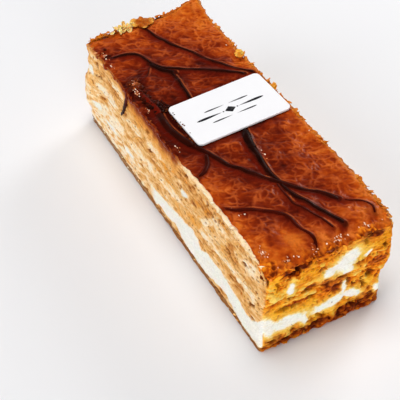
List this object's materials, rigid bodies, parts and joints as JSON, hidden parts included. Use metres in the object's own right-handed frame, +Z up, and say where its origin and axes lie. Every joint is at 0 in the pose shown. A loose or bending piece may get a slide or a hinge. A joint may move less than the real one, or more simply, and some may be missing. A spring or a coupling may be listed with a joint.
{
  "type": "mille feuille slice",
  "caption": "Bar-shaped slice of layered puff pastry and pastry cream, with a caramel-glazed top, trailed chocolate strands and a plain white plaque.",
  "frame": {"origin": "centre of the whole slice's bounding box in plan, on the surface that it stands on", "axes": "+X along the long side of the slice, +Y across it, +Z up through the layers"},
  "size_m": [0.1282, 0.0468, 0.0381],
  "materials": {
    "base_crust": "dark baked puff pastry, dry and matt",
    "pastry_cream": "smooth set vanilla cream, soft sheen",
    "puff_pastry": "golden flaky cut puff pastry, matt",
    "caramel_glaze": "wrinkled caramelised top, glossy red-brown",
    "chocolate": "thin dark chocolate strands, glossy",
    "white_plaque": "smooth white, satin"
  },
  "bodies": {
    "root": {"base_pastry": "base_crust", "lower_cream": "pastry_cream", "middle_pastry": "puff_pastry", "upper_cream": "pastry_cream", "top_pastry": "caramel_glaze", "plaque": "white_plaque"}
  },
  "joints": []
}
